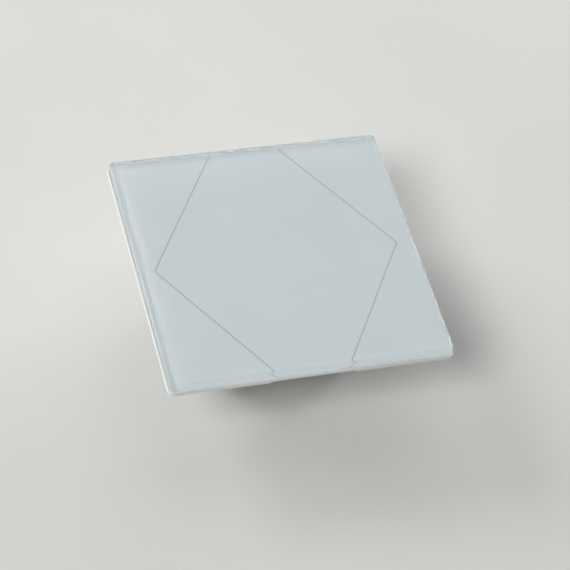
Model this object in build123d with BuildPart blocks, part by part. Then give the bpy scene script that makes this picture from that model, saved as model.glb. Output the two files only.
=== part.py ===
from build123d import *
import os

# Touch light switch for a round wall box: glass front, carrier, electronics insert, bus plug, bracket.
# The row frame stands on the back of the insert: +Z out of the glass, +Y to the switch's top edge.

os.makedirs("parts", exist_ok=True)
pieces = {}

# Overall sizes
face_side = 84.0  # glass, edge to edge
total_depth = 32.0  # glass face to the back of the insert
overrun = 1.0  # how far every cut runs past the face it opens
fit_gap = 0.2  # flat clearance round a piece that drops into a pocket
pin_gap = 0.04  # flat clearance round a pin in its hole

# Front glass
glass_thickness = 3.0
glass_corner = 1.2
glass_front_chamfer = 0.4
glass_back_chamfer = 0.08

# Enamel printed on the back of the glass, and the two chevrons that part the touch zones
print_thickness = 0.15
line_width = 0.42
line_thickness = 0.05
chevron_margin = 4.8  # edge of the glass to the point of a chevron
chevron_end_share = 0.125  # of the glass: from the centre line to where a chevron meets the edge
chevron_bend = 1.2

# Adhesive film, touch board and its electrodes
film_thickness = 0.25
film_margin = 0.4  # from the edge of the print
board_corner = 2.0
touch_board_thickness = 1.0
electrode_thickness = 0.1
electrode_margin = 2.0  # from the edge of the touch board
electrode_gap = 1.6  # from a chevron to the copper

# Carrier: rim round the glass, skirt behind it, floor between the two boards
rim_proud = 0.5  # rim past the edge of the glass
rim_below_glass = 1.6
rim_corner = 1.7
rim_edge_radius = 0.3
glass_gap = 0.1  # glass edge to the rim's lip
skirt_share = 0.9048  # of the glass
skirt_wall = 1.5
board_ledge = 0.3  # skirt's inside to the touch board's pocket
skirt_corner = 3.0
skirt_wall_gap = 0.3  # skirt to the wall that the bracket lies on
part_room = 1.6  # between the touch board and the floor
floor_thickness = 1.2
notch_width = 26.0
notch_height = 0.8
notch_slope = 0.8  # run of each sloped end
inlet_width = 5.0
inlet_height = 1.0
inlet_lift = 0.3  # floor to the lower edge of an inlet
inlet_pitch = 9.0
board_post_radius = 1.5
board_post_margin = 6.0  # from the edge of the touch board

# Insert housing
housing_share = 0.52381  # of the glass
housing_corner = 5.0
housing_wall = 1.5
housing_back = 1.6
housing_edge_chamfer = 0.8
flange_corner = 4.0
flange_thickness = 1.5
flange_notch_width = 15.0
flange_notch_depth = 6.0
pad_radius = 3.5
pad_height = 0.5
pad_step = 3.3  # side of the housing to the middle of a pad
pad_margin = 3.7  # middle of a pad to the edge of the flange
vent_width = 1.2
vent_share = 0.3017  # of the tub's height
vent_pitch = 3.0
vent_count = 4
vent_place_share = 0.7328  # of the tub's height: back of the insert to the middle of the vents
label_length = 28.0
label_width = 14.0
label_corner = 1.0
label_thickness = 0.1
label_row = 10.5  # from the middle of the insert
label_recess = 0.3
label_gap = 0.4  # label to the edge of its recess

# Main board on its posts
main_board_gap = 0.5  # to the walls of the housing
main_board_thickness = 1.6
main_board_share = 0.4375  # of the total depth: back of the insert to the main board
main_board_corner = 3.0
post_radius = 2.3
post_margin = 3.6  # middle of a post to the edge of the main board

# Screws: a head, a shank and a cross slot
housing_screw_radius = 1.0
housing_screw_head_radius = 1.9
housing_screw_head = 1.2
housing_screw_length = 2.6
boss_radius = 2.4
board_screw_radius = 1.0
board_screw_head_radius = 1.9
board_screw_head = 1.3
board_screw_length = 6.0
screw_gap = 0.02  # radial, shank in its pilot hole
screw_clear = 0.15  # radial, shank through a board or flange
cross_width = 0.5
cross_share = 0.6  # of the head's height and its diameter

# Board-to-board connector
header_pitch = 2.54
header_columns = 5
header_rows = 2
header_shares = (0.0, 0.3075)  # of the main board, from its middle
header_base_height = 2.5
header_border = 0.25  # plastic past the outermost pitch cells
header_pin_side = 0.64
header_pin_tail = 1.4
header_pin_share = 0.82  # of the socket's hole
header_gap = 0.9  # header to the socket
socket_border = 0.4
socket_hole_side = 0.9
socket_hole_share = 0.8  # of the socket's height
floor_window_gap = 0.9

# Parts under the touch board
controller_side = 7.0
controller_height = 0.9
controller_shares = (0.1944, -0.0833)  # of the touch board, from its middle
led_length = 3.0
led_width = 1.4
led_height = 0.8
led_edge_gap = 0.3  # from the touch board's edge
sensor_side = 2.5
sensor_height = 0.9
sensor_edge_gap = 1.2
sensor_port_radius = 0.5
sensor_port_depth = 0.3
seal_wall = 1.2
seal_gap = 0.9

# Parts on the main board, placed by shares of it from its middle
processor_side = 7.0
processor_height = 1.0
processor_shares = (-0.2, 0.05)
chip_mark_radius = 0.4
chip_mark_depth = 0.1
chip_mark_share = 0.35
inductor_side = 6.0
inductor_height = 3.0
inductor_corner = 1.4
inductor_shares = (0.24, -0.24)
capacitor_radius = 3.0
capacitor_share = 0.725  # of the room above the board
capacitor_foot_side = 6.6
capacitor_foot_height = 0.8
capacitor_cut = 1.3
capacitor_shares = ((-0.215, -0.245), (0.015, -0.245))
sounder_radius = 4.5
sounder_height = 3.6
sounder_hole_radius = 0.8
sounder_hole_depth = 1.0
sounder_shares = (0.18, 0.035)

# Bus connector: socket in the insert's back, fixed header, loose plug
pole_count = 4
pole_pitch = 3.5
terminal_shares = (0.0, -0.2)  # of the main board, from its middle
plug_border = 0.5  # plastic past the outermost poles
plug_depth = 8.9
plug_gap = 0.15
plug_recess = 0.7  # plug's face behind the insert's back
plug_corner = 0.5
socket_wall = 1.2
terminal_header_height = 3.8
terminal_header_gap = 0.3
terminal_pin_side = 1.0
terminal_pin_row = -2.2  # from the plug's middle
terminal_pin_share = 0.4674  # of the plug's height
plug_pin_gap = 0.2
wire_hole_radius = 1.1
wire_funnel = 0.35
chamber_width = 2.8
chamber_low_share = 0.4  # of the plug's height
plug_roof = 0.7  # chamber to the plug's top
chamber_front = -3.4  # from the plug's middle
chamber_back = 3.6

# Clamp springs and their release buttons
clamp_strip = 0.3
clamp_width = 2.2
clamp_bend = 0.3
clamp_end_rise = 0.6
button_side = 2.2
button_guide_gap = 0.1
button_row = 2.2
button_proud = 0.6  # past the plug's face at rest
button_spring_gap = 0.05
button_edge = 0.25
button_collar = 0.25  # past the shaft, inside the chamber
button_collar_height = 0.5
button_slot_width = 0.5
button_slot_depth = 0.4

# Mounting bracket, its grip springs and rivets
bracket_gap = 1.0  # to the inside of the skirt
bracket_corner = 3.5
bracket_thickness = 1.0
bracket_window_gap = 2.0  # to the housing
bracket_window_corner = 6.0
box_slot_share = 0.6087  # of the frame round the window
box_slot_place_share = 0.5217  # of the same frame, from the window
box_slot_width = 3.6
wall_screw_margin = 4.5  # from the edge of the bracket
wall_screw_radius = 1.7
wall_screw_sink_radius = 2.3
wall_screw_sink_angle = 90.0
grip_strip = 0.4
grip_width = 7.0
grip_place_share = 0.3182  # of the housing, along Y, both ways
grip_foot_margin = 0.7  # head of a rivet to the end of the foot
grip_leg_gap = 0.4  # to the window's edge
grip_leg_drop = 1.6
grip_gap = 0.05  # bulge of the spring to the housing
grip_bulge_drop = 6.0
grip_tip_drop = 8.5
grip_tip_flare = 0.85  # past the bulge
grip_bend = 0.7
rivet_flange_gap = 0.9  # head to the edge of the flange
rivet_radius = 1.0
rivet_head_radius = 1.7
rivet_head = 0.7
rivet_dome = 0.3
rivet_gap = 0.03

# Levels above the back of the insert, from the glass down
glass_back = total_depth - glass_thickness
print_back = glass_back - print_thickness
film_back = print_back - film_thickness
electrode_back = film_back - electrode_thickness
touch_board_back = electrode_back - touch_board_thickness
rim_back = glass_back - rim_below_glass
floor_top = touch_board_back - part_room
floor_back = floor_top - floor_thickness
flange_back = floor_back - flange_thickness
pad_back = flange_back - pad_height
bracket_back = pad_back - bracket_thickness
skirt_back = bracket_back + skirt_wall_gap
main_board_height = main_board_share * total_depth
main_board_top = main_board_height + main_board_thickness
plug_face = plug_recess
terminal_header_back = main_board_height - terminal_header_height
plug_top = terminal_header_back - terminal_header_gap

# Heights that follow from the levels
board_room = touch_board_back - main_board_top
socket_height = board_room - header_base_height - header_gap
socket_hole_depth = socket_hole_share * socket_height
header_pin_rise = board_room - socket_height + header_pin_share * socket_hole_depth
plug_height = plug_top - plug_face
chamber_low = chamber_low_share * plug_height
chamber_high = plug_height - plug_roof
terminal_pin_reach = terminal_pin_share * plug_height
capacitor_height = capacitor_share * (floor_back - main_board_top) - capacitor_foot_height
vent_length = vent_share * flange_back
vent_height = vent_place_share * flange_back

# Sizes in plan, from the glass inwards
print_side = face_side - 2 * glass_back_chamfer
print_corner = glass_corner - glass_back_chamfer
chevron_reach = face_side / 2 - chevron_margin
chevron_end = chevron_end_share * face_side
skirt_side = skirt_share * face_side
skirt_inside = skirt_side - 2 * skirt_wall
board_window = skirt_inside - 2 * board_ledge
touch_board_side = board_window - 2 * fit_gap
board_post_place = touch_board_side / 2 - board_post_margin
housing_side = housing_share * face_side
housing_inside = housing_side - 2 * housing_wall
pad_place = housing_side / 2 + pad_step
flange_side = 2 * (pad_place + pad_margin)
main_board_side = housing_inside - 2 * main_board_gap
post_place = main_board_side / 2 - post_margin
bracket_side = skirt_inside - 2 * bracket_gap
bracket_window = housing_side + 2 * bracket_window_gap
bracket_frame = (bracket_side - bracket_window) / 2
box_screw_spacing = bracket_window + 2 * box_slot_place_share * bracket_frame
box_slot_length = box_slot_share * bracket_frame
wall_screw_spacing = bracket_side - 2 * wall_screw_margin
rivet_place = flange_side / 2 + rivet_flange_gap + rivet_head_radius
grip_foot_end = rivet_place + rivet_head_radius + grip_foot_margin
grip_place = grip_place_share * housing_side
corners = [(x, y) for x in (-1, 1) for y in (-1, 1)]


def at(shares, side):
    """The place on a square board that lies these shares of its side from its middle."""
    return (shares[0] * side, shares[1] * side)


header_place = at(header_shares, main_board_side)
terminal_place = at(terminal_shares, main_board_side)


def spots(place):
    """Four places, one in each corner, the same distance from the centre both ways."""
    return [(x * place, y * place) for x, y in corners]


def plate(height, side, corner):
    """A square with round corners, drawn at a height."""
    with BuildSketch(Plane.XY.offset(height)) as outline:
        RectangleRounded(side, side, corner)
    return outline.sketch


def touch_lines(height):
    """The two chevrons, from edge to edge of the print, drawn at a height."""
    with BuildSketch(Plane.XY.offset(height)) as lines:
        for side in (-1, 1):
            with BuildLine():
                FilletPolyline(
                    (side * chevron_end, face_side / 2),
                    (side * chevron_reach, 0),
                    (side * chevron_end, -face_side / 2),
                    radius=chevron_bend,
                )
            trace(line_width=line_width)
        RectangleRounded(print_side, print_side, print_corner, mode=Mode.INTERSECT)
    return lines.sketch


def screw(place, seat, head_radius, head, radius, length, up):
    """A screw whose head sits on a level: the shank goes up or down from there."""
    with BuildSketch(Plane.XY.offset(seat)) as head_circle:
        with Locations(place):
            Circle(head_radius)
    extrude(head_circle.sketch, amount=-up * head)
    with BuildSketch(Plane.XY.offset(seat)) as shank_circle:
        with Locations(place):
            Circle(radius)
    extrude(shank_circle.sketch, amount=up * length)
    with BuildSketch(Plane.XY.offset(seat - up * head)) as cross:
        with Locations(place):
            Rectangle(2 * cross_share * head_radius, cross_width)
            Rectangle(cross_width, 2 * cross_share * head_radius)
    extrude(cross.sketch, amount=up * cross_share * head, mode=Mode.SUBTRACT)


# Front glass: the face edge is polished to a chamfer, the back edge only broken
with BuildPart() as front_glass:
    extrude(plate(glass_back, face_side, glass_corner), amount=glass_thickness)
    chamfer(front_glass.faces().sort_by(Axis.Z)[-1].edges(), length=glass_front_chamfer)
    chamfer(front_glass.faces().sort_by(Axis.Z)[0].edges(), length=glass_back_chamfer)
pieces["front_glass"] = front_glass

# White back print, with shallow grooves where the lines were printed first
with BuildPart() as back_print:
    extrude(plate(print_back, print_side, print_corner), amount=print_thickness)
    extrude(touch_lines(glass_back - line_thickness), amount=overrun, mode=Mode.SUBTRACT)
pieces["back_print"] = back_print

# Touch lines, which fill the grooves
with BuildPart() as touch_line_print:
    extrude(touch_lines(glass_back - line_thickness), amount=line_thickness)
pieces["touch_line_print"] = touch_line_print

# Adhesive film that bonds the print to the touch board and the rim
film_side = print_side - 2 * film_margin
with BuildPart() as adhesive_film:
    extrude(plate(film_back, film_side, print_corner), amount=film_thickness)
pieces["adhesive_film"] = adhesive_film

# Carrier
rim_side = face_side + 2 * rim_proud
recess_side = face_side + 2 * glass_gap
header_size = (
    header_columns * header_pitch + 2 * header_border,
    header_rows * header_pitch + 2 * header_border,
)
socket_size = (
    header_columns * header_pitch + 2 * socket_border,
    header_rows * header_pitch + 2 * socket_border,
)
with BuildPart() as front_carrier:
    extrude(plate(rim_back, rim_side, rim_corner), amount=rim_below_glass)
    fillet(front_carrier.faces().sort_by(Axis.Z)[0].edges(), radius=rim_edge_radius)
    extrude(plate(skirt_back, skirt_side, skirt_corner), amount=rim_back - skirt_back)
    # Pocket for the glass's print and film, room for the touch board, hollow behind the floor
    pocket = plate(film_back, recess_side, glass_corner + glass_gap)
    extrude(pocket, amount=glass_back - film_back, mode=Mode.SUBTRACT)
    room = plate(floor_top, board_window, board_corner)
    extrude(room, amount=film_back - floor_top, mode=Mode.SUBTRACT)
    hollow = plate(skirt_back, skirt_inside, skirt_corner - skirt_wall)
    extrude(hollow, amount=floor_back - skirt_back, mode=Mode.SUBTRACT)
    # Window for the board-to-board connector
    with BuildSketch(Plane.XY.offset(floor_back)):
        with Locations(header_place):
            Rectangle(socket_size[0] + 2 * floor_window_gap, socket_size[1] + 2 * floor_window_gap)
    extrude(amount=floor_thickness, mode=Mode.SUBTRACT)
    # Bosses for the housing's screws, and posts under the touch board
    with BuildSketch(Plane.XY.offset(floor_top)):
        with Locations(*spots(pad_place)):
            Circle(boss_radius)
        with Locations(*spots(board_post_place)):
            Circle(board_post_radius)
    extrude(amount=part_room)
    with BuildSketch(Plane.XY.offset(floor_back)):
        with Locations(*spots(pad_place)):
            Circle(housing_screw_radius + screw_gap)
    extrude(amount=housing_screw_length, mode=Mode.SUBTRACT)
    # Notch in the middle of the rim's bottom side
    with BuildSketch(Plane.XZ.offset(skirt_side / 2)):
        with BuildLine():
            Polyline(
                (-notch_width / 2, rim_back),
                (-notch_width / 2 + notch_slope, rim_back + notch_height),
                (notch_width / 2 - notch_slope, rim_back + notch_height),
                (notch_width / 2, rim_back),
                (-notch_width / 2, rim_back),
            )
        make_face()
    extrude(amount=(rim_side - skirt_side) / 2 + overrun, mode=Mode.SUBTRACT)
    # Inlets through the skirt: air for the sensor in the middle, light at the sides
    with BuildSketch(Plane.XZ.offset(board_window / 2 - overrun)):
        with Locations((0, floor_top + inlet_lift + inlet_height / 2)):
            with GridLocations(inlet_pitch, 0, 3, 1):
                Rectangle(inlet_width, inlet_height)
    extrude(amount=(skirt_side - board_window) / 2 + 2 * overrun, mode=Mode.SUBTRACT)
pieces["front_carrier"] = front_carrier

# Touch board
with BuildPart() as touch_board:
    extrude(plate(touch_board_back, touch_board_side, board_corner), amount=touch_board_thickness)
pieces["touch_board"] = touch_board

# Copper: a triangle in each corner zone, and the long hexagon between the chevrons
electrode_reach = touch_board_side / 2 - electrode_margin
chevron_slope = (chevron_reach - chevron_end) / (face_side / 2)
line_at_reach = chevron_reach - chevron_slope * electrode_reach
corner_low = (chevron_reach - electrode_reach + electrode_gap) / chevron_slope
with BuildPart() as touch_electrodes:
    with BuildSketch(Plane.XY.offset(electrode_back)):
        with BuildLine():
            Polyline(
                (electrode_reach - electrode_gap, 0),
                (line_at_reach - electrode_gap, electrode_reach),
                (electrode_gap - line_at_reach, electrode_reach),
                (electrode_gap - electrode_reach, 0),
                (electrode_gap - line_at_reach, -electrode_reach),
                (line_at_reach - electrode_gap, -electrode_reach),
                (electrode_reach - electrode_gap, 0),
            )
        make_face()
        for x, y in corners:
            with BuildLine():
                Polyline(
                    (x * electrode_reach, y * electrode_reach),
                    (x * electrode_reach, y * corner_low),
                    (x * (line_at_reach + electrode_gap), y * electrode_reach),
                    (x * electrode_reach, y * electrode_reach),
                )
            make_face()
    extrude(amount=electrode_thickness)
pieces["touch_electrodes"] = touch_electrodes


def chip(place, side, top, height):
    """A square chip that hangs from a board, or stands on it, with a round mark by its first leg."""
    with BuildSketch(Plane.XY.offset(top)) as body:
        with Locations(place):
            Rectangle(side, side)
    extrude(body.sketch, amount=height)
    mark = (place[0] - chip_mark_share * side, place[1] - chip_mark_share * side)
    with BuildSketch(Plane.XY.offset(top + height)) as dot:
        with Locations(mark):
            Circle(chip_mark_radius)
    inwards = -chip_mark_depth if height > 0 else chip_mark_depth
    extrude(dot.sketch, amount=inwards, mode=Mode.SUBTRACT)


with BuildPart() as touch_controller:
    chip(at(controller_shares, touch_board_side), controller_side, touch_board_back, -controller_height)
pieces["touch_controller"] = touch_controller

# Two side-lit lamps by the outer inlets
led_row = led_edge_gap + led_width / 2 - touch_board_side / 2
with BuildPart() as orientation_leds:
    with BuildSketch(Plane.XY.offset(touch_board_back)):
        with Locations((-inlet_pitch, led_row), (inlet_pitch, led_row)):
            Rectangle(led_length, led_width)
    extrude(amount=-led_height)
pieces["orientation_leds"] = orientation_leds

# Climate sensor at the middle inlet, with its port
sensor_row = sensor_edge_gap + sensor_side / 2 - touch_board_side / 2
with BuildPart() as climate_sensor:
    with BuildSketch(Plane.XY.offset(touch_board_back)):
        with Locations((0, sensor_row)):
            Rectangle(sensor_side, sensor_side)
    extrude(amount=-sensor_height)
    with BuildSketch(Plane.XY.offset(touch_board_back - sensor_height)):
        with Locations((0, sensor_row)):
            Circle(sensor_port_radius)
    extrude(amount=sensor_port_depth, mode=Mode.SUBTRACT)
pieces["climate_sensor"] = climate_sensor

# Foam seal: three walls round the sensor, open towards the inlet
seal_inside = sensor_side / 2 + seal_gap
seal_front = -board_window / 2
seal_rear = sensor_row + seal_inside
with BuildPart() as sensor_seal:
    with BuildSketch(Plane.XY.offset(floor_top)):
        with BuildLine():
            Polyline(
                (seal_inside, seal_front),
                (seal_inside + seal_wall, seal_front),
                (seal_inside + seal_wall, seal_rear + seal_wall),
                (-seal_inside - seal_wall, seal_rear + seal_wall),
                (-seal_inside - seal_wall, seal_front),
                (-seal_inside, seal_front),
                (-seal_inside, seal_rear),
                (seal_inside, seal_rear),
                (seal_inside, seal_front),
            )
        make_face()
    extrude(amount=part_room)
pieces["sensor_seal"] = sensor_seal


def header_grid(height, side):
    """A small square at every pin of the board-to-board connector."""
    with BuildSketch(Plane.XY.offset(height)) as squares:
        with Locations(header_place):
            with GridLocations(header_pitch, header_pitch, header_columns, header_rows):
                Rectangle(side, side)
    return squares.sketch


# Socket under the touch board
with BuildPart() as board_socket:
    with BuildSketch(Plane.XY.offset(touch_board_back - socket_height)):
        with Locations(header_place):
            Rectangle(*socket_size)
    extrude(amount=socket_height)
    holes = header_grid(touch_board_back - socket_height, socket_hole_side)
    extrude(holes, amount=socket_hole_depth, mode=Mode.SUBTRACT)
pieces["board_socket"] = board_socket

# Header on the main board, and its pins through the board
with BuildPart() as board_header:
    with BuildSketch(Plane.XY.offset(main_board_top)):
        with Locations(header_place):
            Rectangle(*header_size)
    extrude(amount=header_base_height)
    holes = header_grid(main_board_top, header_pin_side + 2 * pin_gap)
    extrude(holes, amount=header_base_height, mode=Mode.SUBTRACT)
pieces["board_header"] = board_header

with BuildPart() as header_pins:
    pins = header_grid(main_board_height - header_pin_tail, header_pin_side)
    extrude(pins, amount=header_pin_tail + main_board_thickness + header_pin_rise)
pieces["header_pins"] = header_pins

# Main board
poles = [terminal_place[0] + (n - (pole_count - 1) / 2) * pole_pitch for n in range(pole_count)]
pin_row = terminal_place[1] + terminal_pin_row
with BuildPart() as main_board:
    extrude(plate(main_board_height, main_board_side, main_board_corner), amount=main_board_thickness)
    holes = header_grid(main_board_height, header_pin_side + 2 * pin_gap)
    extrude(holes, amount=main_board_thickness, mode=Mode.SUBTRACT)
    with BuildSketch(Plane.XY.offset(main_board_height)):
        with Locations(*[(x, pin_row) for x in poles]):
            Rectangle(terminal_pin_side + 2 * pin_gap, terminal_pin_side + 2 * pin_gap)
        with Locations(*spots(post_place)):
            Circle(board_screw_radius + screw_clear)
    extrude(amount=main_board_thickness, mode=Mode.SUBTRACT)
pieces["main_board"] = main_board

with BuildPart() as processor:
    chip(at(processor_shares, main_board_side), processor_side, main_board_top, processor_height)
pieces["processor"] = processor

with BuildPart() as power_inductor:
    with BuildSketch(Plane.XY.offset(main_board_top)):
        with Locations(at(inductor_shares, main_board_side)):
            RectangleRounded(inductor_side, inductor_side, inductor_corner)
    extrude(amount=inductor_height)
pieces["power_inductor"] = power_inductor

# Capacitors: a can on a square foot with two cut corners
foot_half = capacitor_foot_side / 2
capacitor_places = [at(shares, main_board_side) for shares in capacitor_shares]
with BuildPart() as smoothing_capacitors:
    with BuildSketch(Plane.XY.offset(main_board_top)):
        for x, y in capacitor_places:
            with BuildLine():
                Polyline(
                    (x - foot_half + capacitor_cut, y - foot_half),
                    (x + foot_half, y - foot_half),
                    (x + foot_half, y + foot_half),
                    (x - foot_half + capacitor_cut, y + foot_half),
                    (x - foot_half, y + foot_half - capacitor_cut),
                    (x - foot_half, y - foot_half + capacitor_cut),
                    (x - foot_half + capacitor_cut, y - foot_half),
                )
            make_face()
    extrude(amount=capacitor_foot_height)
    with BuildSketch(Plane.XY.offset(main_board_top + capacitor_foot_height)):
        with Locations(*capacitor_places):
            Circle(capacitor_radius)
    extrude(amount=capacitor_height)
pieces["smoothing_capacitors"] = smoothing_capacitors

# Sounder for the touch click
sounder_place = at(sounder_shares, main_board_side)
with BuildPart() as click_sounder:
    with BuildSketch(Plane.XY.offset(main_board_top)):
        with Locations(sounder_place):
            Circle(sounder_radius)
    extrude(amount=sounder_height)
    with BuildSketch(Plane.XY.offset(main_board_top + sounder_height)):
        with Locations(sounder_place):
            Circle(sounder_hole_radius)
    extrude(amount=-sounder_hole_depth, mode=Mode.SUBTRACT)
pieces["click_sounder"] = click_sounder

# Insert housing: a tub with a flange, board posts and the plug's tunnel
plug_length = pole_count * pole_pitch + 2 * plug_border
tunnel = (plug_length + 2 * plug_gap, plug_depth + 2 * plug_gap)
with BuildPart() as rear_housing:
    extrude(plate(0, housing_side, housing_corner), amount=flange_back)
    chamfer(rear_housing.faces().sort_by(Axis.Z)[0].edges(), length=housing_edge_chamfer)
    with BuildSketch(Plane.XY.offset(flange_back)):
        RectangleRounded(flange_side, flange_side, flange_corner)
        # Cut-outs for the heads of the wall box's screws
        with PolarLocations(flange_side / 2, 4):
            Rectangle(2 * flange_notch_depth, flange_notch_width, mode=Mode.SUBTRACT)
    extrude(amount=flange_thickness)
    with BuildSketch(Plane.XY.offset(pad_back)):
        with Locations(*spots(pad_place)):
            Circle(pad_radius)
    extrude(amount=pad_height)
    inside = plate(housing_back, housing_inside, housing_corner - housing_wall)
    extrude(inside, amount=floor_back - housing_back, mode=Mode.SUBTRACT)
    with BuildSketch(Plane.XY.offset(housing_back)):
        with Locations(*spots(post_place)):
            Circle(post_radius)
        with Locations(terminal_place):
            Rectangle(tunnel[0] + 2 * socket_wall, tunnel[1] + 2 * socket_wall)
    extrude(amount=plug_top - housing_back)
    with BuildSketch(Plane.XY.offset(plug_top)):
        with Locations(*spots(post_place)):
            Circle(post_radius)
    extrude(amount=main_board_height - plug_top)
    with BuildSketch(Plane.XY):
        with Locations(terminal_place):
            Rectangle(*tunnel)
    extrude(amount=plug_top, mode=Mode.SUBTRACT)
    # Pilot holes for the board's screws, and seats for the housing's own
    with BuildSketch(Plane.XY.offset(main_board_height)):
        with Locations(*spots(post_place)):
            Circle(board_screw_radius + screw_gap)
    extrude(amount=main_board_thickness - board_screw_length, mode=Mode.SUBTRACT)
    with BuildSketch(Plane.XY.offset(pad_back)):
        with Locations(*spots(pad_place)):
            Circle(housing_screw_head_radius + screw_clear)
    extrude(amount=housing_screw_head, mode=Mode.SUBTRACT)
    with BuildSketch(Plane.XY.offset(pad_back)):
        with Locations(*spots(pad_place)):
            Circle(housing_screw_radius + screw_clear)
    extrude(amount=pad_height + flange_thickness, mode=Mode.SUBTRACT)
    with BuildSketch(Plane.XY):
        with Locations((0, label_row)):
            RectangleRounded(label_length + 2 * label_gap, label_width + 2 * label_gap, label_corner)
    extrude(amount=label_recess, mode=Mode.SUBTRACT)
    # Vents in the two side walls
    with BuildSketch(Plane.YZ.offset(-housing_side / 2 - overrun)):
        with Locations((0, vent_height)):
            with GridLocations(vent_pitch, 0, vent_count, 1):
                SlotOverall(vent_length, vent_width, rotation=90)
    extrude(amount=housing_side + 2 * overrun, mode=Mode.SUBTRACT)
pieces["rear_housing"] = rear_housing

# Bare label in its recess
with BuildPart() as rear_label:
    with BuildSketch(Plane.XY.offset(label_recess)):
        with Locations((0, label_row)):
            RectangleRounded(label_length, label_width, label_corner)
    extrude(amount=-label_thickness)
pieces["rear_label"] = rear_label

with BuildPart() as housing_screws:
    for place in spots(pad_place):
        screw(
            place,
            pad_back + housing_screw_head,
            housing_screw_head_radius,
            housing_screw_head,
            housing_screw_radius,
            floor_back - pad_back - housing_screw_head + housing_screw_length,
            1,
        )
pieces["housing_screws"] = housing_screws

with BuildPart() as board_screws:
    for place in spots(post_place):
        screw(
            place,
            main_board_top,
            board_screw_head_radius,
            board_screw_head,
            board_screw_radius,
            board_screw_length,
            -1,
        )
pieces["board_screws"] = board_screws


def pole_squares(height, row, side):
    """A small square at every pole of the bus connector, in a row of it."""
    with BuildSketch(Plane.XY.offset(height)) as squares:
        with Locations(*[(x, terminal_place[1] + row) for x in poles]):
            Rectangle(side, side)
    return squares.sketch


# Fixed half of the bus connector
with BuildPart() as terminal_header:
    with BuildSketch(Plane.XY.offset(terminal_header_back)):
        with Locations(terminal_place):
            Rectangle(plug_length, plug_depth)
    extrude(amount=terminal_header_height)
    holes = pole_squares(terminal_header_back, terminal_pin_row, terminal_pin_side + 2 * pin_gap)
    extrude(holes, amount=terminal_header_height, mode=Mode.SUBTRACT)
pieces["terminal_header"] = terminal_header

with BuildPart() as terminal_pins:
    pin_end = terminal_header_back - terminal_pin_reach
    pins = pole_squares(pin_end, terminal_pin_row, terminal_pin_side)
    extrude(pins, amount=main_board_top - pin_end)
pieces["terminal_pins"] = terminal_pins

# Loose half: wire holes and button guides at the back, one chamber a pole, pin holes at the front
with BuildPart() as terminal_plug:
    with BuildSketch(Plane.XY.offset(plug_face)):
        with Locations(terminal_place):
            RectangleRounded(plug_length, plug_depth, plug_corner)
    extrude(amount=plug_top - plug_face)
    chamber_middle = terminal_place[1] + (chamber_front + chamber_back) / 2
    with BuildSketch(Plane.XY.offset(plug_face + chamber_low)):
        with Locations(*[(x, chamber_middle) for x in poles]):
            Rectangle(chamber_width, chamber_back - chamber_front)
    extrude(amount=chamber_high - chamber_low, mode=Mode.SUBTRACT)
    holes = pole_squares(plug_face + chamber_high, terminal_pin_row, terminal_pin_side + 2 * plug_pin_gap)
    extrude(holes, amount=plug_top - plug_face - chamber_high, mode=Mode.SUBTRACT)
    guides = pole_squares(plug_face, button_row, button_side + 2 * button_guide_gap)
    extrude(guides, amount=chamber_low, mode=Mode.SUBTRACT)
    with BuildSketch(Plane.XY.offset(plug_face)):
        with Locations(*[(x, pin_row) for x in poles]):
            Circle(wire_hole_radius)
    extrude(amount=chamber_low, mode=Mode.SUBTRACT)
    mouths = terminal_plug.edges().filter_by(GeomType.CIRCLE).group_by(Axis.Z)[0]
    mouths = mouths.filter_by(lambda edge: abs(edge.radius - wire_hole_radius) < pin_gap)
    chamfer(mouths, length=wire_funnel)
pieces["terminal_plug"] = terminal_plug

# One clamp spring and one release button for every pole
button_end = plug_face + chamber_low
spring_top = plug_face + chamber_high - clamp_strip / 2
spring_low = button_end + button_collar_height + button_spring_gap + clamp_strip / 2
row_zero = terminal_place[1]
contact_row = terminal_pin_row + terminal_pin_side / 2 + 2 * clamp_strip
for number, x in enumerate(poles, start=1):
    with BuildPart() as clamp_spring:
        with BuildSketch(Plane.YZ.offset(x)):
            with BuildLine():
                FilletPolyline(
                    (row_zero + button_row - button_side / 2, spring_low),
                    (row_zero + button_row + button_side / 4, spring_low),
                    (row_zero + chamber_back - clamp_strip, spring_top),
                    (row_zero + button_row / 2, spring_top),
                    (row_zero + contact_row, spring_low + clamp_end_rise),
                    radius=clamp_bend,
                )
            trace(line_width=clamp_strip)
        extrude(amount=clamp_width / 2, both=True)
    pieces[f"clamp_spring_{number}"] = clamp_spring

    with BuildPart() as release_button:
        with BuildSketch(Plane.XY.offset(plug_face - button_proud)):
            with Locations((x, row_zero + button_row)):
                Rectangle(button_side, button_side)
        extrude(amount=button_proud + chamber_low)
        chamfer(release_button.faces().sort_by(Axis.Z)[0].edges(), length=button_edge)
        with BuildSketch(Plane.XY.offset(button_end)):
            with Locations((x, row_zero + button_row)):
                Rectangle(button_side + 2 * button_collar, button_side + 2 * button_collar)
        extrude(amount=button_collar_height)
        with BuildSketch(Plane.XY.offset(plug_face - button_proud)):
            with Locations((x, row_zero + button_row)):
                Rectangle(button_slot_width, button_side)
        extrude(amount=button_slot_depth, mode=Mode.SUBTRACT)
    pieces[f"release_button_{number}"] = release_button

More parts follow.
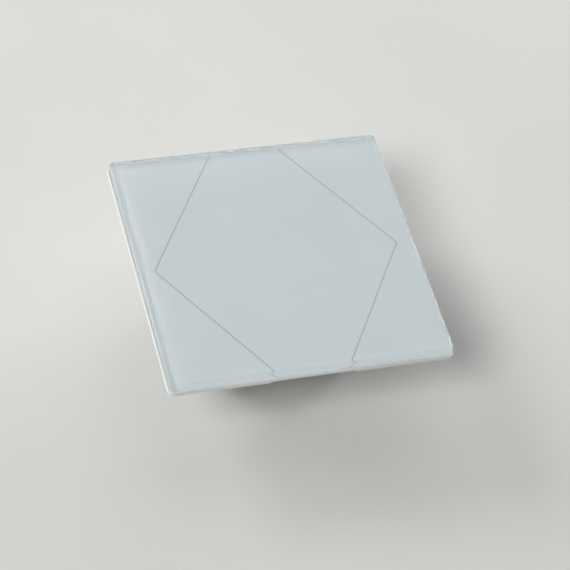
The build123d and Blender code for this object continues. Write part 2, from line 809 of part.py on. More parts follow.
# Mounting bracket: slotted holes for the wall box, sunk holes in the corners for wall screws
with BuildPart() as mounting_bracket:
    extrude(plate(bracket_back, bracket_side, bracket_corner), amount=bracket_thickness)
    window = plate(bracket_back, bracket_window, bracket_window_corner)
    extrude(window, amount=bracket_thickness, mode=Mode.SUBTRACT)
    with BuildSketch(Plane.XY.offset(bracket_back)):
        with PolarLocations(box_screw_spacing / 2, 4):
            SlotOverall(box_slot_length, box_slot_width)
        with Locations(*[(x * rivet_place, y * grip_place) for x, y in corners]):
            Circle(rivet_radius + rivet_gap)
    extrude(amount=bracket_thickness, mode=Mode.SUBTRACT)
    with Locations(Plane.XY.offset(pad_back)):
        with Locations(*spots(wall_screw_spacing / 2)):
            CounterSinkHole(
                wall_screw_radius,
                wall_screw_sink_radius,
                depth=bracket_thickness,
                counter_sink_angle=wall_screw_sink_angle,
            )
pieces["mounting_bracket"] = mounting_bracket

# Grip springs: a foot on the bracket, a leg through its window, a bulge that presses on the housing
grip_middle = pad_back + grip_strip / 2
bulge = housing_side / 2 + grip_gap + grip_strip / 2
grip_leg_place = bracket_window / 2 - grip_leg_gap - grip_strip / 2
with BuildPart() as grip_springs:
    for y in (-grip_place, grip_place):
        for x in (-1, 1):
            with BuildSketch(Plane.XZ.offset(-y)):
                with BuildLine():
                    FilletPolyline(
                        (x * grip_foot_end, grip_middle),
                        (x * grip_leg_place, grip_middle),
                        (x * grip_leg_place, grip_middle - grip_leg_drop),
                        (x * bulge, pad_back - grip_bulge_drop),
                        (x * (bulge + grip_tip_flare), pad_back - grip_tip_drop),
                        radius=grip_bend,
                    )
                trace(line_width=grip_strip)
            extrude(amount=grip_width / 2, both=True)
    with BuildSketch(Plane.XY.offset(pad_back)):
        with Locations(*[(x * rivet_place, y * grip_place) for x, y in corners]):
            Circle(rivet_radius + rivet_gap)
    extrude(amount=grip_strip, mode=Mode.SUBTRACT)
pieces["grip_springs"] = grip_springs

with BuildPart() as spring_rivets:
    with BuildSketch(Plane.XY.offset(bracket_back)):
        with Locations(*[(x * rivet_place, y * grip_place) for x, y in corners]):
            Circle(rivet_radius)
    extrude(amount=bracket_thickness + grip_strip)
    with BuildSketch(Plane.XY.offset(pad_back + grip_strip)):
        with Locations(*[(x * rivet_place, y * grip_place) for x, y in corners]):
            Circle(rivet_head_radius)
    extrude(amount=rivet_head)
    fillet(spring_rivets.edges().group_by(Axis.Z)[-1], radius=rivet_dome)
pieces["spring_rivets"] = spring_rivets

for node, piece in pieces.items():
    piece.part.label = node
    export_step(piece.part, f"parts/{node}.step")
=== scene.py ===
import math

import bmesh
import bpy
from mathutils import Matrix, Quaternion, Vector


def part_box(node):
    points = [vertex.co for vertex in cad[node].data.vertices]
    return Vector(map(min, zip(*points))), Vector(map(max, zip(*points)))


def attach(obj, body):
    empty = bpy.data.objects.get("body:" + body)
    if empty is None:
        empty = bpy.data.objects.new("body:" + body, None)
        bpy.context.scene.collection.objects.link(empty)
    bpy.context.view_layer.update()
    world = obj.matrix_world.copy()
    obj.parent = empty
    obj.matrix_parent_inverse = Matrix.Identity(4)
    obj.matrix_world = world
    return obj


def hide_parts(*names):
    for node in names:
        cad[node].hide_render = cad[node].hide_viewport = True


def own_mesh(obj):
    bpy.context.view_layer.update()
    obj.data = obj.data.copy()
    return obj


# Touch light switch lying on the back of its insert, glass up, on a pale floor.
# The scene is in metres. Lengths below are in millimetres where nothing else is said, and MM turns
# them into metres.

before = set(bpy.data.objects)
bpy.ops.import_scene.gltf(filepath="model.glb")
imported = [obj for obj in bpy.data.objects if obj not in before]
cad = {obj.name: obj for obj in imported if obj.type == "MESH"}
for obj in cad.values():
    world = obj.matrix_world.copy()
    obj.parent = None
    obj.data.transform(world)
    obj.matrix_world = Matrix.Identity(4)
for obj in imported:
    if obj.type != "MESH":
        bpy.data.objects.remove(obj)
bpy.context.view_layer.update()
MM = 0.001
POLES = range(1, 5)
SIDES = (-1, 1)


# Shaders

# Parts of a noise's run that a span spreads out: its middle, and most of it
MIDDLE = {"start": 0.35, "end": 0.65}
MOST = {"start": 0.3, "end": 0.7}
# Agreement of a rounded normal with the flat one, from the midst of an edge to just beside it
ON_EDGE = {"start": 0.8, "end": 0.99}
BEVEL_SAMPLES = 4
# Places of the colour sockets among those of a Mix node
MIX_FACTOR, MIX_FIRST, MIX_SECOND, MIX_RESULT = 0, 6, 7, 2


class Shader:
    """One material, with short calls for the nodes that feed its surface."""

    def __init__(self, name, **values):
        self.material = bpy.data.materials.new(name)
        self.material.use_nodes = True
        self.nodes = self.material.node_tree.nodes
        self.links = self.material.node_tree.links
        self.surface = self.nodes["Principled BSDF"]
        for socket, value in values.items():
            self.feed(socket.replace("_", " "), value)
        self.place = self.node("TexCoord").outputs["Object"]

    def node(self, kind, inputs=None, **settings):
        made = self.nodes.new("ShaderNode" + kind)
        for key, value in settings.items():
            setattr(made, key, value)
        for key, value in (inputs or {}).items():
            self.join(made.inputs[key], value)
        return made

    def join(self, socket, value):
        if isinstance(value, bpy.types.NodeSocket):
            self.links.new(value, socket)
        else:
            socket.default_value = value

    def feed(self, socket, value):
        self.join(self.surface.inputs[socket], value)

    def noise(self, size, detail=2.0, stretch=(1, 1, 1), roughness=0.5):
        """Noise whose blobs are about this large, drawn out along axes with a large stretch."""
        scale = [1 / (size * MM * s) for s in stretch]
        grid = self.node("Mapping", {"Vector": self.place, "Scale": scale})
        made = self.node(
            "TexNoise",
            {"Vector": grid.outputs[0], "Scale": 1.0, "Detail": detail, "Roughness": roughness},
        )
        return made.outputs["Fac"]

    def cells(self, size, feature="F1", distance="EUCLIDEAN", output="Distance"):
        """Cells about this large: bubbles, grains, tracks."""
        grid = self.node("Mapping", {"Vector": self.place, "Scale": [1 / (size * MM)] * 3})
        inputs = {"Vector": grid.outputs[0], "Scale": 1.0}
        made = self.node("TexVoronoi", inputs, feature=feature, distance=distance)
        return made.outputs[output]

    def span(self, value, low, high, start=0.0, end=1.0):
        """The value's run from start to end, mapped on low to high."""
        made = self.node(
            "MapRange",
            {"Value": value, "From Min": start, "From Max": end, "To Min": low, "To Max": high},
        )
        return made.outputs["Result"]

    def maths(self, operation, *values):
        made = self.node("Math", operation=operation)
        for socket, value in zip(made.inputs, values):
            self.join(socket, value)
        return made.outputs[0]

    def mix(self, amount, first, second):
        """A colour between two colours."""
        made = self.node("Mix", data_type="RGBA")
        values = ((MIX_FACTOR, amount), (MIX_FIRST, first), (MIX_SECOND, second))
        for place, value in values:
            opaque = (*value, 1.0) if isinstance(value, tuple) else value
            self.join(made.inputs[place], opaque)
        return made.outputs[MIX_RESULT]

    def axes(self, source=None):
        """The three parts of a vector, the place when none is named."""
        return self.node("SeparateXYZ", {"Vector": source or self.place}).outputs

    def up(self):
        """How far the surface faces the floor, -1, or away from it, 1."""
        return self.axes(self.node("NewGeometry").outputs["Normal"])[2]

    def edges(self, radius):
        """Softened edges: the rounded normal, and a mask that is high on the edges themselves."""
        rounded = self.node("Bevel", {"Radius": radius * MM}, samples=BEVEL_SAMPLES).outputs[0]
        flat = self.node("NewGeometry").outputs["Normal"]
        dot = self.node("VectorMath", {0: rounded, 1: flat}, operation="DOT_PRODUCT")
        return rounded, self.span(dot.outputs["Value"], 1.0, 0.0, **ON_EDGE)

    def relief(self, height, depth, normal=None):
        """Feeds a bump of this depth to the surface, on a rounded normal if one is named."""
        inputs = {"Height": height, "Distance": depth * MM, "Strength": 1.0}
        if normal is not None:
            inputs["Normal"] = normal
        self.feed("Normal", self.node("Bump", inputs).outputs[0])


def shades(colour, amount):
    """A colour, and the same made lighter by this share."""
    return tuple(colour), tuple(min(1.0, c * (1 + amount)) for c in colour)


def moulded(name, colour, roughness, grain_size, grain_depth, vary, edge):
    """Injection-moulded plastic: a spark-eroded grain, faint flow clouds, softened edges made
    lighter by wear and a painted highlight.
    """
    cloud_size, edge_fade = 9, 0.35
    shinier, duller = 0.07, 0.09
    made = Shader(name)
    dark, light = shades(colour, vary)
    clouds = made.noise(cloud_size, 3)
    rounded, wear_and_highlight = made.edges(edge)
    base = made.mix(made.span(clouds, 0, 1, **MIDDLE), dark, light)
    # Edges lighter in colour: wear and a painted highlight
    made.feed("Base Color", made.mix(made.span(wear_and_highlight, 0, edge_fade), base, light))
    grain = made.noise(grain_size, 3, roughness=0.65)
    made.feed("Roughness", made.span(grain, roughness - shinier, roughness + duller, **MOST))
    made.relief(grain, grain_depth, rounded)
    return made.material


def sheet_metal(name, colour, roughness, stretch, vary, edge, mottle_size):
    """Rolled or plated metal: fine lines along the rolling, a mottled coat, edges made paler by
    wear and a painted highlight.
    """
    line_size, line_depth = 0.09, 0.002
    # Pale colour laid over the edges, and how far: wear and a painted highlight
    wear_and_highlight_colour, wear_and_highlight_share = (0.86, 0.86, 0.85), 0.6
    made = Shader(name, Metallic=1.0)
    dark, light = shades(colour, vary)
    mottle = made.noise(mottle_size, 4, roughness=0.6)
    lines = made.noise(line_size, 2, stretch)
    rounded, wear_and_highlight = made.edges(edge)
    base = made.mix(made.span(mottle, 0, 1, **MIDDLE), dark, light)
    # Edges paler: wear and a painted highlight
    made.feed("Base Color", made.mix(made.span(wear_and_highlight, 0, wear_and_highlight_share), base, wear_and_highlight_colour))
    mottled_shine = made.span(mottle, -0.05, 0.07, **MOST)
    lined_shine = made.span(lines, -0.05, 0.05, **MOST)
    shine = made.maths("ADD", mottled_shine, lined_shine)
    made.feed("Roughness", made.maths("ADD", shine, roughness))
    made.relief(lines, line_depth, rounded)
    return made.material


def circuit_board(name, mask, traces, cell_size):
    """Solder mask over copper runs and small pads, and bare laminate at the sawn edges."""
    pad_share, copper_depth, weave_share = 0.6, 0.03, 0.2
    edge_roughness, face_roughness = 0.75, 0.32
    made = Shader(name)
    runs = made.span(made.cells(cell_size, "DISTANCE_TO_EDGE"), 1, 0, 0.05, 0.09)
    pads = made.span(made.cells(cell_size * pad_share, "F1", "CHEBYCHEV"), 1, 0, 0.1, 0.14)
    copper = made.maths("MAXIMUM", runs, pads)
    flat = made.span(made.maths("ABSOLUTE", made.up()), 0, 1, 0.5, 0.6)
    face = made.mix(copper, mask, traces)
    fibres = made.noise(0.25, 2, (6, 6, 0.6))
    edge = made.mix(fibres, (0.42, 0.38, 0.22), (0.62, 0.57, 0.36))
    made.feed("Base Color", made.mix(flat, edge, face))
    made.feed("Roughness", made.span(flat, edge_roughness, face_roughness))
    weave = made.span(made.noise(0.5, 1), 0, weave_share)
    made.relief(made.maths("ADD", copper, weave), copper_depth)
    return made.material


# Glass: clear, with two perfect faces, polished walls and satin chamfers. How level the surface is
# tells them apart: 1 on the faces, 0 on the walls, between them on the chamfers.
clear = (0.99, 1.0, 0.998, 1.0)
glass = Shader("float_glass", Transmission_Weight=1.0, IOR=1.5, Base_Color=clear)
level = glass.maths("ABSOLUTE", glass.up())
off_face = glass.span(level, 1, 0, 0.85, 0.99)
chamfer_haze = glass.span(level, 0, 0.2, 0.3, 0.6)
polish = glass.span(glass.noise(0.6), 0.02, 0.07, **MOST)
ground = glass.maths("ADD", chamfer_haze, polish)
glass.feed("Roughness", glass.maths("MULTIPLY", off_face, ground))
glass = glass.material

# Enamel on the back of the glass, which holds it optically, so it has no gloss of its own there
enamel = Shader("white_enamel", Roughness=0.6, Specular_IOR_Level=0.0)
tone = enamel.span(enamel.noise(14, 3), 0, 1, **MIDDLE)
enamel.feed("Base Color", enamel.mix(tone, (0.865, 0.935, 0.965), (0.875, 0.945, 0.975)))
enamel = enamel.material

lines = Shader("grey_line_print", Roughness=0.6, Specular_IOR_Level=0.0)
specks = lines.noise(0.08, 2)
lines.feed("Base Color", lines.mix(specks, (0.60, 0.64, 0.65), (0.66, 0.70, 0.71)))
lines = lines.material

film = Shader("adhesive_film")
fibre = film.noise(0.4, 3, (1, 5, 1))
film.feed("Base Color", film.mix(fibre, (0.78, 0.79, 0.77), (0.88, 0.88, 0.86)))
film.feed("Roughness", film.span(fibre, 0.35, 0.6))
film.relief(fibre, 0.01)
film = film.material

# Plastics: colour, roughness, grain size and depth, how far the colour varies, rounding of edges
carrier = moulded("white_carrier", (0.80, 0.825, 0.82), 0.5, 0.16, 0.006, 0.03, 0.1)
housing = moulded("white_housing", (0.76, 0.775, 0.765), 0.55, 0.22, 0.012, 0.03, 0.15)
plug = moulded("light_grey_plug", (0.52, 0.535, 0.53), 0.42, 0.14, 0.006, 0.05, 0.1)
button = moulded("orange_button", (0.80, 0.20, 0.022), 0.36, 0.12, 0.004, 0.08, 0.1)
connector = moulded("black_connector", (0.025, 0.026, 0.03), 0.48, 0.1, 0.005, 0.3, 0.06)
ferrite = moulded("sintered_ferrite", (0.045, 0.045, 0.05), 0.62, 0.07, 0.008, 0.5, 0.12)

front_board = circuit_board("touch_board_mask", (0.02, 0.105, 0.05), (0.045, 0.18, 0.08), 5.0)
rear_board = circuit_board("main_board_mask", (0.018, 0.095, 0.045), (0.04, 0.165, 0.075), 3.2)

copper = Shader("electrode_copper", Metallic=1.0)
haze = copper.noise(3, 4, roughness=0.65)
copper.feed("Base Color", copper.mix(haze, (0.62, 0.30, 0.17), (0.80, 0.46, 0.28)))
copper.feed("Roughness", copper.span(haze, 0.25, 0.5, **MOST))
copper.relief(copper.noise(0.2, 2), 0.003)
copper = copper.material

chip = Shader("chip_moulding")
pits = chip.noise(0.09, 3, roughness=0.7)
chip.feed("Base Color", chip.mix(pits, (0.018, 0.018, 0.02), (0.045, 0.045, 0.05)))
chip.feed("Roughness", chip.span(pits, 0.5, 0.75, **MOST))
chip_round, _ = chip.edges(0.08)
chip.relief(pits, 0.008, chip_round)
chip = chip.material

lamp = Shader("lamp_resin", Coat_Weight=0.4, Coat_Roughness=0.1)
phosphor = lamp.noise(0.12, 3)
lamp.feed("Base Color", lamp.mix(phosphor, (0.80, 0.66, 0.24), (0.90, 0.86, 0.60)))
lamp.feed("Roughness", lamp.span(phosphor, 0.2, 0.4))
lamp = lamp.material

foam = Shader("closed_cell_foam", Roughness=0.95, Sheen_Weight=0.3)
bubbles = foam.cells(0.22)
# Painted shade: darker in the middle of each bubble hollow, lighter on the cell walls
bubble_hollow_shade = foam.span(bubbles, 0, 1, 0.1, 0.6)
foam.feed("Base Color", foam.mix(bubble_hollow_shade, (0.008, 0.008, 0.009), (0.05, 0.05, 0.053)))
foam.relief(bubbles, 0.08)
foam = foam.material

contact = Shader("plated_contact", Metallic=1.0)
plating = contact.noise(0.5, 3, (1, 1, 3))
contact.feed("Base Color", contact.mix(plating, (0.72, 0.56, 0.26), (0.88, 0.74, 0.42)))
contact.feed("Roughness", contact.span(plating, 0.16, 0.34, **MOST))
contact = contact.material

tin = Shader("tinned_leads", Metallic=1.0)
dull = tin.noise(0.35, 3)
tin.feed("Base Color", tin.mix(dull, (0.62, 0.62, 0.61), (0.80, 0.80, 0.79)))
tin.feed("Roughness", tin.span(dull, 0.25, 0.45, **MOST))
tin = tin.material

# Ceramic of the small chips: black for some, brown for others
ceramic = Shader("chip_ceramic")
part_tone = ceramic.axes(ceramic.cells(2.4, output="Color"))[0]
ceramic.feed("Base Color", ceramic.mix(part_tone, (0.035, 0.035, 0.04), (0.38, 0.24, 0.13)))
ceramic.feed("Roughness", ceramic.span(ceramic.noise(0.1, 2), 0.4, 0.6))
ceramic = ceramic.material

# Capacitors: a brushed can with a black mark on the right of its top, on a black foot. The places
# across fold onto one can between its left and right ends.
can_foot_top, can_foot_blend = 16.45, 0.05
can_left, can_right = -5.0, 4.2
can_mark_from = 2.0
can_top_level = 0.9
can = Shader("capacitor_can")
side_lines = can.noise(0.08, 2, (1, 1, 12))
across, _, height = can.axes()
above_foot = can.span(height, 0, 1, can_foot_top * MM, (can_foot_top + can_foot_blend) * MM)
offset = can.maths("WRAP", across, can_right * MM, can_left * MM)
on_top = can.maths("GREATER_THAN", can.up(), can_top_level)
on_right = can.maths("GREATER_THAN", offset, can_mark_from * MM)
marked = can.maths("MULTIPLY", on_top, on_right)
metal_part = can.maths("SUBTRACT", above_foot, can.maths("MULTIPLY", marked, above_foot))
silver = can.mix(side_lines, (0.66, 0.67, 0.68), (0.84, 0.85, 0.86))
can.feed("Base Color", can.mix(metal_part, (0.02, 0.02, 0.022), silver))
can.feed("Metallic", metal_part)
can.feed("Roughness", can.span(side_lines, 0.28, 0.45, **MOST))
can_round, _ = can.edges(0.35)
can.relief(side_lines, 0.002, can_round)
can = can.material

label = Shader("bare_label", Coat_Weight=0.25, Coat_Roughness=0.2)
satin = label.noise(0.15, 3)
label.feed("Base Color", label.mix(label.noise(6, 3), (0.70, 0.71, 0.705), (0.78, 0.785, 0.775)))
label.feed("Roughness", label.span(satin, 0.3, 0.42, **MOST))
label.relief(satin, 0.002)
label = label.material

# Metals: colour, roughness, stretch of the lines, how far the colour varies, rounding of edges,
# size of the mottle
zinc_sheet = sheet_metal(
    "zinc_plated_sheet", (0.60, 0.615, 0.635), 0.36, (14, 1, 1), 0.10, 0.08, 2.2
)
spring_steel = sheet_metal("spring_steel", (0.50, 0.495, 0.49), 0.26, (1, 14, 1), 0.08, 0.08, 2.2)
screw_zinc = sheet_metal("zinc_plated_screw", (0.58, 0.59, 0.60), 0.30, (3, 3, 1), 0.14, 0.05, 0.8)
clip_steel = sheet_metal("clamp_steel", (0.62, 0.60, 0.56), 0.24, (1, 1, 10), 0.08, 0.04, 1.0)

finishes = {
    "front_glass": glass,
    "touch_line_print": lines,
    "back_print": enamel,
    "adhesive_film": film,
    "front_carrier": carrier,
    "touch_board": front_board,
    "touch_electrodes": copper,
    "touch_controller": chip,
    "orientation_leds": lamp,
    "climate_sensor": chip,
    "sensor_seal": foam,
    "board_socket": connector,
    "board_header": connector,
    "header_pins": contact,
    "main_board": rear_board,
    "processor": chip,
    "power_inductor": ferrite,
    "smoothing_capacitors": can,
    "click_sounder": connector,
    "rear_housing": housing,
    "rear_label": label,
    "housing_screws": screw_zinc,
    "board_screws": screw_zinc,
    "terminal_header": connector,
    "terminal_pins": contact,
    "terminal_plug": plug,
    "mounting_bracket": zinc_sheet,
    "grip_springs": spring_steel,
    "spring_rivets": screw_zinc,
}
for number in POLES:
    finishes[f"clamp_spring_{number}"] = clip_steel
    finishes[f"release_button_{number}"] = button
for name, material in finishes.items():
    cad[name].data.materials.clear()
    cad[name].data.materials.append(material)


# Meshes


def link(made):
    """Puts an object in the scene."""
    bpy.context.scene.collection.objects.link(made)
    return made


def corners(node):
    """Lowest and highest corner of a CAD node, in millimetres."""
    return (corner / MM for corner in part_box(node))


def piece(name, drawn, material, body, smooth_below=30.0, weighted=False):
    """Turns a bmesh drawn in millimetres into a shown piece that rides on a body."""
    bmesh.ops.scale(drawn, vec=(MM, MM, MM), verts=drawn.verts)
    bmesh.ops.recalc_face_normals(drawn, faces=drawn.faces)
    for face in drawn.faces:
        face.smooth = True
    smooth_angle = math.radians(smooth_below)
    for edge in drawn.edges:
        edge.smooth = len(edge.link_faces) == 2 and edge.calc_face_angle() < smooth_angle
    mesh = bpy.data.meshes.new(name)
    drawn.to_mesh(mesh)
    drawn.free()
    mesh.materials.append(material)
    made = link(bpy.data.objects.new(name, mesh))
    if weighted:
        made.modifiers.new("even_normals", "WEIGHTED_NORMAL").keep_sharp = True
    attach(made, body)
    return made


def rounded_square(side, corner, steps=10):
    """Points round a square with round corners, anticlockwise."""
    points = []
    for quarter in range(4):
        middle = math.pi / 2 * quarter
        centre = Vector((side / 2 - corner, side / 2 - corner))
        for step in range(steps + 1):
            turn = math.pi / 2 * step / steps
            local = centre + corner * Vector((math.cos(turn), math.sin(turn)))
            points.append(
                (
                    local.x * math.cos(middle) - local.y * math.sin(middle),
                    local.x * math.sin(middle) + local.y * math.cos(middle),
                )
            )
    return points


def rings_at(made, side, corner, levels):
    """Rounded squares of points, one for each level of (inset, height)."""
    rings = []
    for inset, height in levels:
        outline = rounded_square(side - 2 * inset, corner - inset)
        rings.append([made.verts.new((x, y, height)) for x, y in outline])
    return rings


def join_rings(made, rings):
    """Bands of faces from each ring to the next."""
    for first, second in zip(rings, rings[1:]):
        for i in range(len(first)):
            j = (i + 1) % len(first)
            made.faces.new((first[i], first[j], second[j], second[i]))


def close_ends(made, rings):
    """A face over the first ring and one over the last."""
    made.faces.new(list(reversed(rings[0])))
    made.faces.new(rings[-1])


def box(made, low_corner, high_corner, cut=0.0):
    """Adds a box between two corners, its edges cut back by this much."""
    low_corner, high_corner = Vector(low_corner), Vector(high_corner)
    part = bmesh.new()
    bmesh.ops.create_cube(part, size=1.0)
    bmesh.ops.scale(part, vec=high_corner - low_corner, verts=part.verts)
    bmesh.ops.translate(part, vec=(low_corner + high_corner) / 2, verts=part.verts)
    if cut:
        bmesh.ops.bevel(
            part, geom=part.edges, offset=cut, segments=2, affect="EDGES", profile=0.6
        )
    loose = bpy.data.meshes.new("loose")
    part.to_mesh(loose)
    part.free()
    made.from_mesh(loose)
    bpy.data.meshes.remove(loose)


# Front glass with softened arrises. Its back sits a trace inside the print, which it holds
# optically, so that no film of air mirrors between them.
low, high = corners("front_glass")
glass_side = high.x - low.x
glass_corner = 1.2
chamfer = 0.4
arris = 0.07
back_chamfer = 0.03
bond = 0.03
glass_levels = [
    (back_chamfer, low.z - bond),
    (0.0, low.z - bond + back_chamfer),
    (0.0, high.z - chamfer - arris),
    (arris * 0.25, high.z - chamfer + arris * 0.1),
    (chamfer - arris * 0.1, high.z - arris * 0.25),
    (chamfer + arris, high.z),
]
drawn = bmesh.new()
rings = rings_at(drawn, glass_side, glass_corner, glass_levels)
join_rings(drawn, rings)
close_ends(drawn, rings)
front = piece("polished_glass", drawn, glass, "touch_unit", 28.0, weighted=True)
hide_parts("front_glass")

# Lip of enamel that fills the last tenth between the print and the glass's own edge
lip_top = low.z + 0.003
lip_foot = low.z - 0.15
lip_outer, lip_inner = -0.005, 0.25
lip_levels = (
    (lip_outer, lip_foot),
    (lip_outer, lip_top),
    (lip_inner, lip_top),
    (lip_inner, lip_foot),
)
drawn = bmesh.new()
rings = rings_at(drawn, glass_side, glass_corner, lip_levels)
join_rings(drawn, rings + rings[:1])
piece("print_lip", drawn, enamel, "touch_unit")

# Pole numbers 1 to 4, raised on the plug's face between the wire holes and the buttons
plug_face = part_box("terminal_plug")[0].z / MM
number_height = 1.3
type_size = number_height * 1.35  # the font's own size for digits of that height
number_rise = 0.12
number_sunk = 0.02
button_to_guide = 1.2  # middle of a button to the edge of its guide
guide_to_number = 0.9
weld = 0.001
for number in POLES:
    button_low, button_high = corners(f"release_button_{number}")
    guide_edge = (button_low.y + button_high.y) / 2 - button_to_guide
    text = bpy.data.curves.new(f"pole_{number}", "FONT")
    text.body = str(number)
    text.size = type_size
    text.align_x = "CENTER"
    text.align_y = "CENTER"
    text.extrude = number_rise / 2
    text.resolution_u = 3
    sign = link(bpy.data.objects.new(f"pole_{number}", text))
    bpy.context.view_layer.update()
    sign_mesh = bpy.data.meshes.new_from_object(sign)
    bpy.data.objects.remove(sign)
    drawn = bmesh.new()
    drawn.from_mesh(sign_mesh)
    bpy.data.meshes.remove(sign_mesh)
    face_down = Quaternion((0, 1, 0), math.pi).to_matrix()
    bmesh.ops.rotate(drawn, cent=(0, 0, 0), matrix=face_down, verts=drawn.verts)
    place = (
        (button_low.x + button_high.x) / 2,
        guide_edge - guide_to_number,
        plug_face - number_rise / 2 + number_sunk,
    )
    bmesh.ops.translate(drawn, vec=place, verts=drawn.verts)
    bmesh.ops.remove_doubles(drawn, verts=drawn.verts, dist=weld)
    piece(f"pole_number_{number}", drawn, plug, "terminal_plug")

# Clamp springs, each a copy of the CAD spring with a mesh of its own, riding on the plug
for number in POLES:
    low_corner, high_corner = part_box(f"clamp_spring_{number}")
    bent_mesh = cad[f"clamp_spring_{number}"].data.copy()
    spring = link(bpy.data.objects.new(f"bending_clamp_{number}", bent_mesh))
    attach(spring, "terminal_plug")
    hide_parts(f"clamp_spring_{number}")
    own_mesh(spring)

# Two plain arrows raised on the bracket, either side of its upper slot: this side up
_, bracket_high = corners("mounting_bracket")
arrow_x = 11.0
arrow_y = bracket_high.y - 4.6
arrow_rise = 0.15
arrow_sunk = 0.02
arrow_half = 2.3
shaft_half = 0.45
head_half = 1.5
head_foot = 0.2
arrow = [
    (-shaft_half, -arrow_half),
    (shaft_half, -arrow_half),
    (shaft_half, head_foot),
    (head_half, head_foot),
    (0, arrow_half),
    (-head_half, head_foot),
    (-shaft_half, head_foot),
]
drawn = bmesh.new()
for side in SIDES:
    ends = [
        [drawn.verts.new((side * arrow_x + x, arrow_y + y, z)) for x, y in arrow]
        for z in (bracket_high.z - arrow_sunk, bracket_high.z + arrow_rise)
    ]
    close_ends(drawn, ends)
    join_rings(drawn, ends)
piece("up_arrows", drawn, zinc_sheet, "mounting_bracket")

# Leads of the two large chips, on all four sides. Each has a shoulder, a leg and a foot, given as
# start and end out from the chip's side, then as lowest and highest place above the board.
lead_parts = ((-0.1, 0.35, 0.34, 0.5), (0.25, 0.4, 0.0, 0.5), (0.35, 0.85, 0.0, 0.14))
lead_count = 8
lead_pitch = 0.75
lead_half = 0.15
for name, chip_node, away in (
    ("processor_leads", "processor", 1),
    ("controller_leads", "touch_controller", -1),
):
    low_corner, high_corner = corners(chip_node)
    centre = (low_corner + high_corner) / 2
    half = (high_corner.x - low_corner.x) / 2
    board_z = low_corner.z if away > 0 else high_corner.z
    drawn = bmesh.new()
    for index in range(lead_count):
        along = (index - (lead_count - 1) / 2) * lead_pitch
        for side in SIDES:
            for start, end, low_z, high_z in lead_parts:
                heights = sorted((board_z + away * low_z, board_z + away * high_z))
                across = sorted((side * (half + start), side * (half + end)))
                box(
                    drawn,
                    (centre.x + across[0], centre.y + along - lead_half, heights[0]),
                    (centre.x + across[1], centre.y + along + lead_half, heights[1]),
                )
                box(
                    drawn,
                    (centre.x + along - lead_half, centre.y + across[0], heights[0]),
                    (centre.x + along + lead_half, centre.y + across[1], heights[1]),
                )
    piece(name, drawn, tin, "touch_unit")

# Small resistors and capacitors, by rows, on both boards
chip_length, chip_width, chip_height = 1.6, 0.8, 0.5
body_cut = 0.04
cap_length, cap_proud, cap_cut = 0.3, 0.02, 0.06
main_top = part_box("main_board")[1].z / MM
touch_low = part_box("touch_board")[0].z / MM
rows = (
    (main_top, 1, [(x, 11.5) for x in (-15.0, -12.5, -10.0)]),
    (main_top, 1, [(x, -3.8) for x in (-15.5, -13.0, -10.5, -8.0)]),
    (main_top, 1, [(14.5, y) for y in (7.0, 9.0, 11.0)]),
    (touch_low, -1, [(x, 12.5) for x in (-16.0, -13.5, -11.0, 12.0, 14.5)]),
    (touch_low, -1, [(x, -15.0) for x in (10.0, 12.5, 15.0, 17.5)]),
)
bodies, caps = bmesh.new(), bmesh.new()
for board_z, away, places in rows:
    low_z, high_z = sorted((board_z, board_z + away * chip_height))
    for x, y in places:
        box(
            bodies,
            (x - chip_length / 2 + cap_length, y - chip_width / 2, low_z),
            (x + chip_length / 2 - cap_length, y + chip_width / 2, high_z),
            body_cut,
        )
        for side in SIDES:
            ends = sorted((x + side * chip_length / 2, x + side * (chip_length / 2 - cap_length)))
            box(
                caps,
                (ends[0], y - chip_width / 2 - cap_proud, low_z),
                (ends[1], y + chip_width / 2 + cap_proud, high_z),
                cap_cut,
            )
piece("small_chip_bodies", bodies, ceramic, "touch_unit")
piece("small_chip_ends", caps, tin, "touch_unit")


# Camera at the photograph's angle, in metres and degrees
camera_place = Vector((-0.16234, -0.37152, 0.51202))
camera_target = Vector((-0.0011, -0.0120, 0.032))
camera_roll = 12.02
camera_data = bpy.data.cameras.new("camera")
camera_data.sensor_fit = "HORIZONTAL"
camera_data.sensor_width = 36.0
camera_data.lens = 134.85
camera_data.clip_start = 0.01
camera = link(bpy.data.objects.new("camera", camera_data))
camera.location = camera_place
aim = (camera_target - camera_place).to_track_quat("-Z", "Y")
roll = Quaternion((0, 0, 1), math.radians(camera_roll))
camera.rotation_euler = (aim @ roll).to_euler()
bpy.context.scene.camera = camera

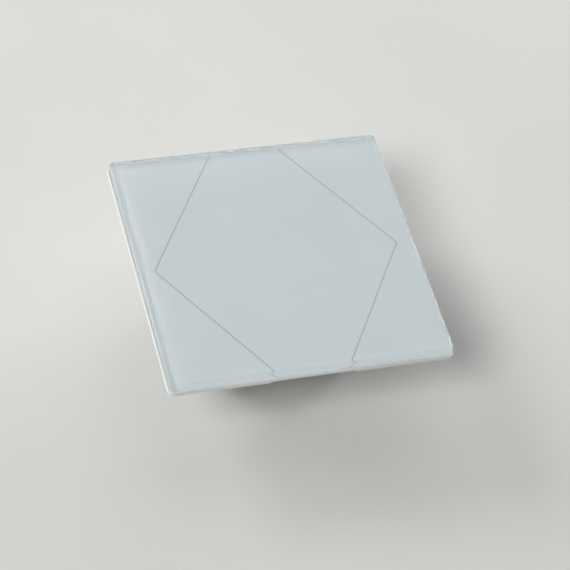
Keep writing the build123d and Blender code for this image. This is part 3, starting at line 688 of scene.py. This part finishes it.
# Floor: a pale matt sheet
floor_half_side = 3.0  # metres
floor_shade = Shader("pale_floor", Specular_IOR_Level=0.25)
fibres = floor_shade.noise(0.35, 4)
clouds = floor_shade.span(floor_shade.noise(70, 3), 0, 1, **MIDDLE)
base = floor_shade.mix(clouds, (0.715, 0.715, 0.697), (0.735, 0.735, 0.717))
floor_shade.feed("Base Color", base)
floor_shade.feed("Roughness", floor_shade.span(fibres, 0.6, 0.75))
floor_shade.relief(fibres, 0.02)
drawn = bmesh.new()
bmesh.ops.create_grid(drawn, x_segments=1, y_segments=1, size=floor_half_side)
floor_data = bpy.data.meshes.new("floor")
drawn.to_mesh(floor_data)
drawn.free()
floor_data.materials.append(floor_shade.material)
floor = link(bpy.data.objects.new("floor", floor_data))


# Light: soft round lamps round the switch, high and low, and a dim even room
def area_light(name, azimuth, height, power, colour, size, distance, mirrored):
    """A lamp aimed at the switch. Its azimuth is in degrees from the left towards the front, its
    size and distance in metres."""
    middle = Vector((0, 0, 0.02))
    turn, rise = math.radians(azimuth), math.radians(height)
    level_reach = math.cos(rise)
    way = Vector((-math.cos(turn) * level_reach, -math.sin(turn) * level_reach, math.sin(rise)))
    data = bpy.data.lights.new(name, "AREA")
    data.shape = "DISK"
    data.size = size
    data.energy = power
    data.color = colour
    made = link(bpy.data.objects.new(name, data))
    made.location = middle + distance * way
    made.rotation_euler = (-way).to_track_quat("-Z", "Y").to_euler()
    made.visible_glossy = mirrored


# The low lamps aren't mirrored, so that the glass shows its print when it is seen from the side
warm, cool = (1.0, 0.99, 0.97), (0.97, 1.0, 1.0)
area_light("front_left", 34, 48, 32.0, warm, 1.1, 2.6, True)
area_light("left_low", 6, 14, 5.8, warm, 0.9, 2.6, False)
area_light("back_left", -50, 25, 42.4, warm, 1.5, 2.6, False)
area_light("back_right_low", -138, 16, 19.3, warm, 0.9, 2.6, False)
area_light("back_right", -114, 46, 4.6, cool, 1.4, 1.3, True)
world = bpy.data.worlds.new("room")
bpy.context.scene.world = world
world.use_nodes = True
room = world.node_tree.nodes["Background"]
room.inputs["Color"].default_value = (*cool, 1.0)
room.inputs["Strength"].default_value = 0.125

bpy.context.scene.view_settings.view_transform = "Standard"
